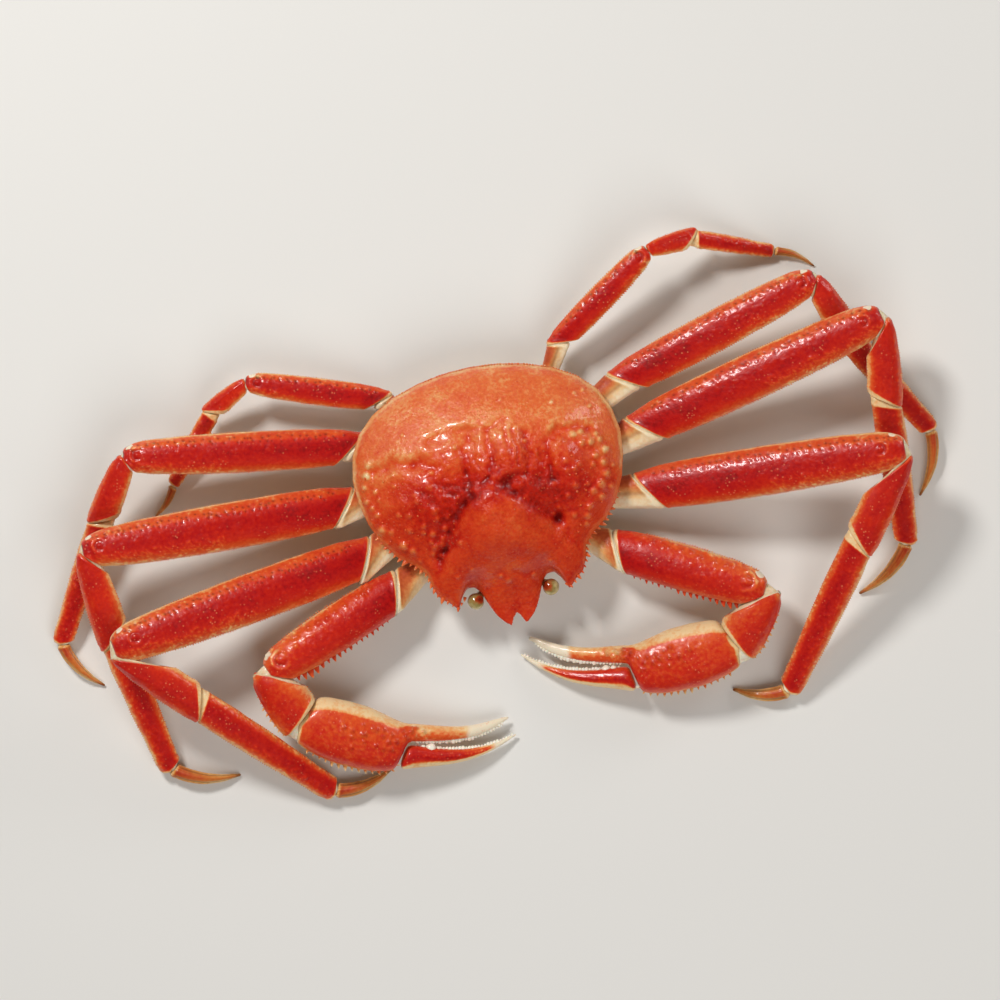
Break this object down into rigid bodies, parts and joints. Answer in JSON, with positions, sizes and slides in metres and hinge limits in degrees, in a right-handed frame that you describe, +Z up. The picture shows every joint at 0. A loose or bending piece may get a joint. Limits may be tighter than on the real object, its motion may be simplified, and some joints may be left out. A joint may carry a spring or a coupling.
{
  "type": "cooked snow crab",
  "caption": "Whole cooked snow crab lying on its belly, red-orange knobbly shell, long folded legs and two toothed claws.",
  "frame": {"origin": "middle of the whole crab's bounding box in plan, on the plane that its belly and leg tips rest on", "axes": "+Z up, the beak points to -Y, the legs spread along X, +X is the crab's own left side"},
  "size_m": [0.4024, 0.218, 0.0509],
  "materials": {
    "carapace_shell": "cooked orange-red shell, knobbly, wet gloss",
    "belly_shell": "cream underside shell, satin",
    "limb_shell": "cooked deep red shell with orange edges, wet gloss",
    "leg_base_shell": "cream and tan shell at the leg roots",
    "claw_shell": "red-orange claw shell with cream border",
    "finger_shell": "red finger shell fading to white at its tip and teeth",
    "leg_tip_shell": "orange-brown leg tip, grooved",
    "eye": "cooked olive and cream eye, glossy"
  },
  "bodies": {
    "root": {"body_underside": "belly_shell", "carapace": "carapace_shell", "left_claw_carpus": "limb_shell", "left_claw_ischium": "leg_base_shell", "left_claw_merus": "limb_shell", "left_claw_movable_finger": "finger_shell", "left_claw_palm": "claw_shell", "left_eye": "eye", "left_leg_1_carpus": "limb_shell", "left_leg_1_dactyl": "leg_tip_shell", "left_leg_1_ischium": "leg_base_shell", "left_leg_1_merus": "limb_shell", "left_leg_1_propodus": "limb_shell", "left_leg_2_carpus": "limb_shell", "left_leg_2_dactyl": "leg_tip_shell", "left_leg_2_ischium": "leg_base_shell", "left_leg_2_merus": "limb_shell", "left_leg_2_propodus": "limb_shell", "left_leg_3_carpus": "limb_shell", "left_leg_3_dactyl": "leg_tip_shell", "left_leg_3_ischium": "leg_base_shell", "left_leg_3_merus": "limb_shell", "left_leg_3_propodus": "limb_shell", "left_leg_4_carpus": "limb_shell", "left_leg_4_dactyl": "leg_tip_shell", "left_leg_4_ischium": "leg_base_shell", "left_leg_4_merus": "limb_shell", "left_leg_4_propodus": "limb_shell", "left_mouth_limb": "belly_shell", "right_claw_carpus": "limb_shell", "right_claw_ischium": "leg_base_shell", "right_claw_merus": "limb_shell", "right_claw_movable_finger": "finger_shell", "right_claw_palm": "claw_shell", "right_eye": "eye", "right_leg_1_carpus": "limb_shell", "right_leg_1_dactyl": "leg_tip_shell", "right_leg_1_ischium": "leg_base_shell", "right_leg_1_merus": "limb_shell", "right_leg_1_propodus": "limb_shell", "right_leg_2_carpus": "limb_shell", "right_leg_2_dactyl": "leg_tip_shell", "right_leg_2_ischium": "leg_base_shell", "right_leg_2_merus": "limb_shell", "right_leg_2_propodus": "limb_shell", "right_leg_3_carpus": "limb_shell", "right_leg_3_dactyl": "leg_tip_shell", "right_leg_3_ischium": "leg_base_shell", "right_leg_3_merus": "limb_shell", "right_leg_3_propodus": "limb_shell", "right_leg_4_carpus": "limb_shell", "right_leg_4_dactyl": "leg_tip_shell", "right_leg_4_ischium": "leg_base_shell", "right_leg_4_merus": "limb_shell", "right_leg_4_propodus": "limb_shell", "right_mouth_limb": "belly_shell", "tail_flap": "belly_shell"}
  },
  "joints": []
}
